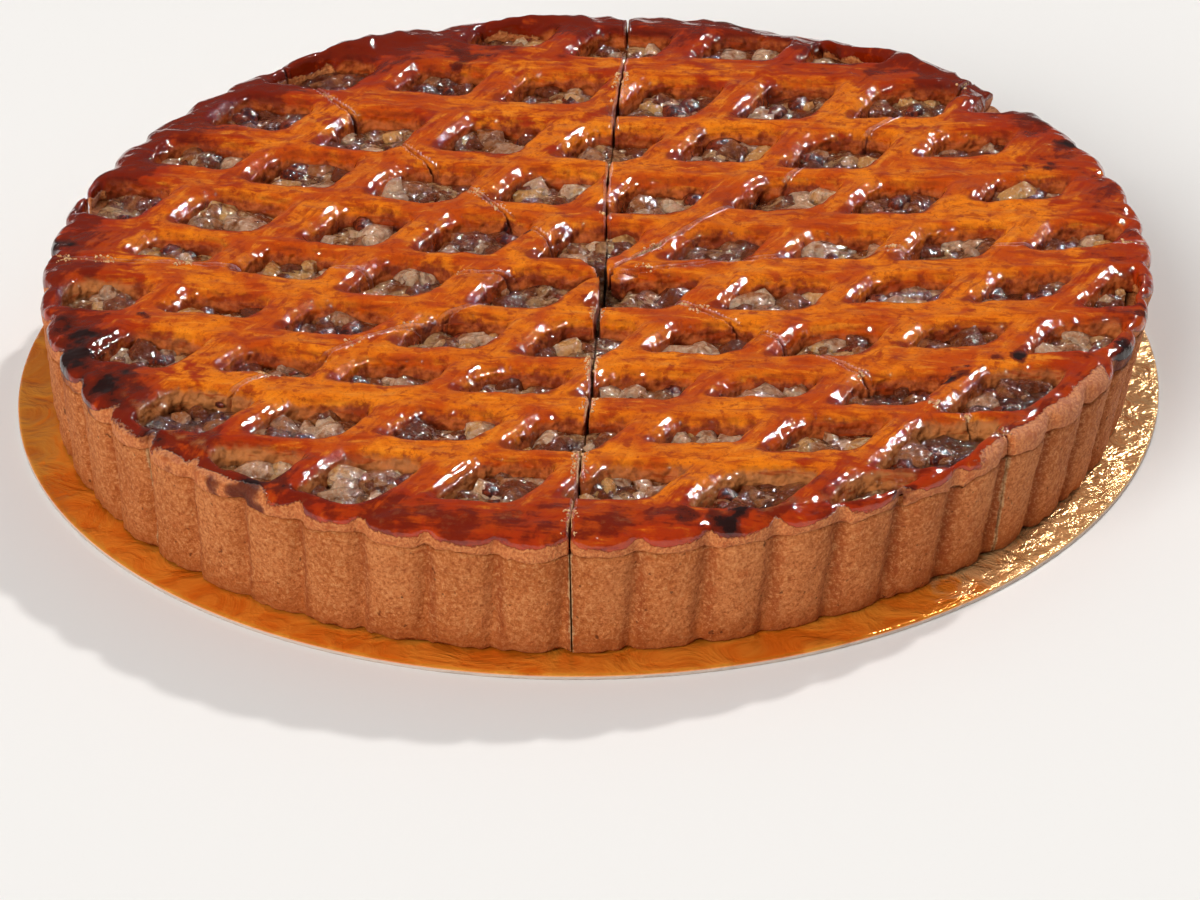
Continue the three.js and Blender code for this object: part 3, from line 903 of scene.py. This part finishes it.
sheet = newPiece("sheet", stackRings(crust["columns"], crust["levels"], crustPlace))
openWindows(sheet)
for k, name in enumerate(sliceNames):
    piece = addObject(name + "_crust", sheet.data.copy())
    cutWith(piece, crustWedges[k], "INTERSECT")
    remesh(piece)
    dropScraps(piece)
    dressCrust(piece)
    fallen = newPiece(name + "_crumbs", scatterCrumbs(k, piece, repeatable(crumbs["seed"] + k)))
    finishPiece(fallen, pastryCrumb, name + "_lattice")
    finishPiece(piece, glazedPastry, name + "_lattice")
    print(name, "crust:", len(piece.data.polygons), "faces")
discard(sheet)

# The fluted case. Its foot is ragged, and a hairline crack runs round under the crust.
case = {
    "columns": tart["flutes"] * 20, "rows": 28, "rowPower": 1.25, "footShare": 0.6, "footReach": 9.0,
    "grains": ((8.0, 0.3), (2.6, 0.24), (1.4, 0.22)), "raggedSize": 3.1, "ragged": 1.2, "raggedReach": 3.0,
    "foot": 0.8, "footBite": (0.5, 1.1), "smoothFoot": (1.0, 8.0), "lowReach": 8.0, "knife": (-0.7, -0.3),
    "gap": 0.45, "gapWander": 0.6, "gapSize": 9.0, "outward": (0.2, 0.6),
}


def casePlace(angle, level):
    kind, height = level
    if kind == "inside":
        return onTart(angle, innerRadius(angle, height, 0), height)
    rise = min(1.0, (height - footZ) / case["footReach"])
    share = case["footShare"] + (1 - case["footShare"]) * rise
    point = onTart(angle, sideRadius(angle, height, tart["fluteDepth"] * share), height)
    unit = Vector((math.cos(angle), math.sin(angle), 0))
    bump = sum(high * noise.noise(point / size) for size, high in case["grains"])
    if height == wallTop:
        point.z += crackWander(angle) + case["gap"] \
            + case["gapWander"] * flatNoise(point.x, point.y, case["gapSize"], 9.0)
    low = max(0.0, 1 - (height - footZ) / case["raggedReach"])
    ragged = max(0.0, flatNoise(point.x, point.y, case["raggedSize"], 5.5))
    least, most = case["footBite"]
    bump -= low * case["foot"] * (least + most * ragged)
    if height == footZ:
        point.z += case["ragged"] * ragged
    return point + unit * bump


def makeCase():
    levels = []
    for k in range(case["rows"] + 1):
        rise = (k / case["rows"]) ** case["rowPower"]
        levels.append(("outside", footZ + (wallTop - footZ) * rise))
    levels += [("inside", wallTop), ("inside", floorTop)]
    return newPiece("wall", stackRings(case["columns"], levels, casePlace))


def dressCase(piece):
    points, normals = meshArrays(piece)
    angle = np.arctan2(points[:, 1], points[:, 0] - axisX)
    outward = smoothRamp(normals[:, 0] * np.cos(angle) + normals[:, 1] * np.sin(angle), *case["outward"])
    smooth, rough = case["smoothFoot"]
    rising = smoothRamp(points[:, 2], footZ + smooth, footZ + rough)
    roughen(piece, points, normals, crust["sideShare"] * outward * rising)
    writeValues(
        piece,
        # valley: how far into a flute's valley a point lies, which darkens the side as painted shade
        valley=np.array([fluteValley(a) for a in angle]),
        low=1 - smoothRamp(points[:, 2], footZ, footZ + case["lowReach"]),
        knife=smoothRamp(-distanceToCuts(points[:, :2]), *case["knife"]),
    )


wall = makeCase()
for k, name in enumerate(sliceNames):
    piece = addObject(name + "_shell", wall.data.copy())
    cutWith(piece, caseWedges[k], "INTERSECT")
    dropScraps(piece)
    dressCase(piece)
    finishPiece(piece, shortcrust, name + "_case")
discard(wall)
print("case made")

# The filling: jelly with lumps under it, then loose pieces of apple and raisins in each window
filling = {
    "columns": 460, "ringStep": 1.15, "shoulder": 3.0, "skin": 2.9,
    "lump": 1.7, "lumpSize": 6.0, "lumpMiddle": 0.4, "ripples": ((6.0, 0.9), (2.8, 0.7)),
    "swell": 3.6, "swellRamp": (-1.8, 1.2), "covered": 1.5, "clearance": 0.2,
    "apples": 15, "appleSize": (1.9, 4.8), "applePower": 1.4, "boxiness": (2.4, 3.0), "tilt": 1.2,
    "appleStretch": ((0.8, 0.7), (0.75, 0.5), (0.5, 0.35)), "tears": ((1.4, 0.34), (3.1, 0.16)),
    "raisins": 2, "syrupyRaisins": 5, "raisinSize": (3.6, 0.7, 0.6), "raisinRise": 0.6,
    "raisinStretch": (1.25, 0.85, 0.7), "crease": (2.0, 0.5),
    "seed": 211, "spill": 0.5, "rise": (1.6, 4.0), "syrupyTone": 0.5, "wallRoom": 1.0, "room": 0.75,
    "smallest": 1.2, "sunk": 0.3,
}


def jellyPlace(angle, level):
    radiusShare, z = level
    point = onTart(angle, innerRadius(angle, z, tart["gap"]) * radiusShare, z)
    if z == fillingTop:
        spots = noise.voronoi(Vector((point.x, point.y, 0)) / filling["lumpSize"])[0]
        point.z += filling["lump"] * (filling["lumpMiddle"] - spots[0])
        for size, height in filling["ripples"]:
            point.z += height * flatNoise(point.x, point.y, size, 3.0)
    return point


# The jelly stands a little higher in the middle of each window
def swellJelly(piece):
    points = meshArrays(piece)[0]
    away = windowDistance(points[:, :2])[0]
    top = points[:, 2] > fillingTop - filling["skin"]
    swollen = points[:, 2] + filling["swell"] * smoothRamp(-away, *filling["swellRamp"])
    height = np.where(top, swollen, points[:, 2])
    covered = top & (away > filling["covered"])
    points[:, 2] = np.where(covered, np.minimum(height, latticeLow - filling["clearance"]), height)
    movePoints(piece, points)


def makeJellyBody():
    rings = int(tart["footRadius"] / filling["ringStep"])
    levels = [(1.0, floorTop + tart["gap"]), (1.0, fillingTop - filling["shoulder"])]
    levels += [((rings - k) / rings, fillingTop) for k in range(rings)]
    return newPiece("jelly", stackRings(filling["columns"], levels, jellyPlace))


def turnedBy(draw, tilt):
    return Matrix.Rotation(draw() * math.tau, 3, "Z") @ Matrix.Rotation((draw() - 0.5) * tilt, 3, "X")


# Adds one piece of cut apple, between a ball and a dice and torn at its edges
def addApple(shape, tone, centre, size, draw, value):
    power = filling["boxiness"][0] + filling["boxiness"][1] * draw()
    stretch = Vector([least + more * draw() for least, more in filling["appleStretch"]]) * size
    turned = turnedBy(draw, filling["tilt"])
    for vertex in bmesh.ops.create_icosphere(shape, subdivisions=2, radius=1)["verts"]:
        boxy = sum(abs(a) ** power for a in vertex.co) ** (-1 / power)
        torn = 1
        for often, deep in filling["tears"]:
            torn += deep * noise.noise(vertex.co * often + centre)
        vertex.co = centre + turned @ Vector(a * b for a, b in zip(vertex.co * boxy * torn, stretch))
        vertex[tone] = value


def addRaisin(shape, centre, size, draw):
    turned = turnedBy(draw, 1)
    stretch = Vector(filling["raisinStretch"]) * size
    often, deep = filling["crease"]
    for vertex in bmesh.ops.create_icosphere(shape, subdivisions=2, radius=1)["verts"]:
        crease = 1 - deep * abs(noise.noise(vertex.co * often + centre))
        vertex.co = centre + turned @ Vector(a * b for a, b in zip(vertex.co * crease, stretch))


def insideWindow(window, draw, margin):
    while True:
        u, v = draw() * 2 - 1, draw() * 2 - 1
        if abs(u) ** 3 + abs(v) ** 3 < 1:
            break
    point = window["centre"] + window["along"] * u * (window["halfAlong"] + margin) \
        + window["across"] * v * (window["halfAcross"] + margin)
    return Vector((point.x + axisX, point.y))


def sliceAt(xy):
    away = xy - cutLines[0]["start"]
    for k, (first, second) in enumerate(zip(cutLines, cutLines[1:])):
        if first["direction"].cross(away) > 0 and second["direction"].cross(away) < 0:
            return k
    return 0


def fillWindows():
    draw = repeatable(filling["seed"])
    apples = [bmesh.new() for name in sliceNames]
    raisins = [bmesh.new() for name in sliceNames]
    tones = [shape.verts.layers.float.new("tone") for shape in apples]
    low, high = filling["appleSize"]
    mean, least, more = filling["raisinSize"]
    lowest, highest = filling["rise"]
    for window in laidWindows:
        raisinCount = filling["syrupyRaisins"] if window["syrupy"] else filling["raisins"]
        for n in range(filling["apples"] + raisinCount):
            spot = insideWindow(window, draw, filling["spill"])
            isApple = n < filling["apples"]
            if isApple:
                size = low + (high - low) * draw() ** filling["applePower"]
            else:
                size = mean * (least + more * draw())
            z = fillingTop + lowest + (highest - lowest) * draw()
            tone = draw() * (filling["syrupyTone"] if window["syrupy"] else 1.0)
            away = float(distanceToCuts(np.array([spot]))[0])
            fromAxis = math.hypot(spot.x - axisX, spot.y)
            toWall = innerRadius(math.atan2(spot.y, spot.x - axisX), z, filling["wallRoom"]) - fromAxis
            size = min(size, min(away, toWall) * filling["room"])
            if size < filling["smallest"]:
                continue
            k = sliceAt(spot)
            centre = Vector((spot.x, spot.y, z - filling["sunk"] * size))
            if isApple:
                addApple(apples[k], tones[k], centre, size, draw, tone)
            else:
                addRaisin(raisins[k], centre + Vector((0, 0, filling["raisinRise"])), size, draw)
    return apples, raisins


jelly = makeJellyBody()
swellJelly(jelly)
apples, raisins = fillWindows()
for k, name in enumerate(sliceNames):
    piece = addObject(name + "_jelly", jelly.data.copy())
    cutWith(piece, caseWedges[k], "INTERSECT")
    dropScraps(piece)
    writeValues(piece, syrup=windowDistance(meshArrays(piece)[0][:, :2])[3])
    finishPiece(piece, appleJelly, name + "_filling")
    finishPiece(newPiece(name + "_apple", apples[k]), cookedApple, name + "_filling")
    finishPiece(newPiece(name + "_raisins", raisins[k]), raisinSkin, name + "_filling")
discard(jelly, *crustWedges, *caseWedges)
print("filling made")

# The gold card under the tart. A level gives radius, height and share of the crinkle.
card = {
    "columns": 360, "crinkle": 0.18, "crinkleSize": 5.0, "wobble": (3, 1, 0.15),
    "board": (-1.3, -0.9), "crushedFrom": (-62, -40), "crushedTo": (60, 90),
    "levels": ((139.4, 0, 0), (140, 0.25, 0), (140, 0.9, 0), (140, 1.2, 0), (140, 1.4, 0),
               (139.7, 1.7, 0), (139.2, 1.8, 0), (138, 1.8, 1), (136.5, 1.8, 1), (135, 1.8, 1),
               (133.5, 1.8, 1), (132, 1.8, 1), (130, 1.8, 1), (127, 1.8, 1), (120, 1.8, 0)),
}


def cardPlace(angle, level):
    radius, z, crinkleShare = level
    count, start, share = card["wobble"]
    radius -= share * (1 + math.sin(count * angle + start))
    point = Vector((radius * math.cos(angle), radius * math.sin(angle), z))
    point.z -= card["crinkle"] * crinkleShare * abs(flatNoise(point.x, point.y, card["crinkleSize"], 2.0))
    return point


piece = newPiece("cakeCard", stackRings(card["columns"], card["levels"], cardPlace))
points = meshArrays(piece)[0]
angle = np.degrees(np.arctan2(points[:, 1], points[:, 0]))
# The card's crushed side, which also carries the paler painted reflection on its foil
crushed = smoothRamp(angle, *card["crushedFrom"]) * (1 - smoothRamp(angle, *card["crushedTo"]))
writeValues(piece, board=smoothRamp(-points[:, 2], *card["board"]), crushed=crushed)
finishPiece(piece, goldFoil, "gold_card")
print("card made")

# The stage: a pale floor, light from the back right and a broad soft fill from the front left
stage = {
    "floor": 3.0,
    "floorSockets": {"Base Color": (0.84, 0.83, 0.82), "Roughness": 0.6, "Specular IOR Level": 0.0},
    "sky": (1.0, 1.0, 1.0), "skyStrength": 0.11, "aim": (0, 0, 0.02),
    # place, spread, power, colour, whether it lights and whether it shows as a highlight
    "lamps": {
        "key": ((0.55, 0.75, 0.85), 3.0, 1.45, (1.0, 0.97, 0.93), True, True),
        "glint": ((0.6, 0.55, 0.95), 2.0, 3.2, (1.0, 1.0, 1.0), False, True),
        "fill": ((-0.7, -1.0, 0.75), 40.0, 2.6, (1.0, 0.98, 0.95), True, False),
        "overhead": ((0.0, 0.05, 1.0), 140.0, 0.8, (1.0, 1.0, 1.0), True, False),
    },
}


def makeFloor():
    shape = bmesh.new()
    bmesh.ops.create_grid(shape, x_segments=2, y_segments=2, size=stage["floor"])
    floor = newPiece("floor", shape)
    floor.data.materials.append(newMaterial("paleFloor", lambda place: stage["floorSockets"]))


# Some lamps only light the surfaces and some only show as highlights on them
def addLight(name, place, spread, power, colour, lighting, mirrored):
    light = bpy.data.lights.new(name, "SUN")
    light.angle, light.energy, light.color = math.radians(spread), power, colour
    lamp = addObject(name, light)
    lamp.location = place
    lamp.visible_diffuse, lamp.visible_glossy = lighting, mirrored
    lamp.rotation_euler = (Vector(stage["aim"]) - Vector(place)).to_track_quat("-Z", "Y").to_euler()


# The camera stands where the photograph was taken from
view = {
    "lens": 200, "sensor": 36, "place": (2.5, -1434.65, 794.75),
    "right": (0.99986, -0.00818, -0.01442), "up": (0.01658, 0.49327, 0.86972),
}


def addCamera():
    camera = addObject("camera", bpy.data.cameras.new("camera"))
    camera.data.lens, camera.data.sensor_width = view["lens"], view["sensor"]
    right, up = Vector(view["right"]), Vector(view["up"])
    rows = Matrix((right, up, right.cross(up))).transposed()
    camera.matrix_world = Matrix.Translation(Vector(view["place"]) * mm) @ rows.to_4x4()
    scene.camera = camera


makeFloor()
for name, lamp in stage["lamps"].items():
    addLight(name, *lamp)
addCamera()
world = bpy.data.worlds.new("sky")
world.use_nodes = True
background = world.node_tree.nodes["Background"]
background.inputs["Color"].default_value = (*stage["sky"], 1)
background.inputs["Strength"].default_value = stage["skyStrength"]
scene.world = world
scene.view_settings.view_transform = "Standard"
print("stage set")
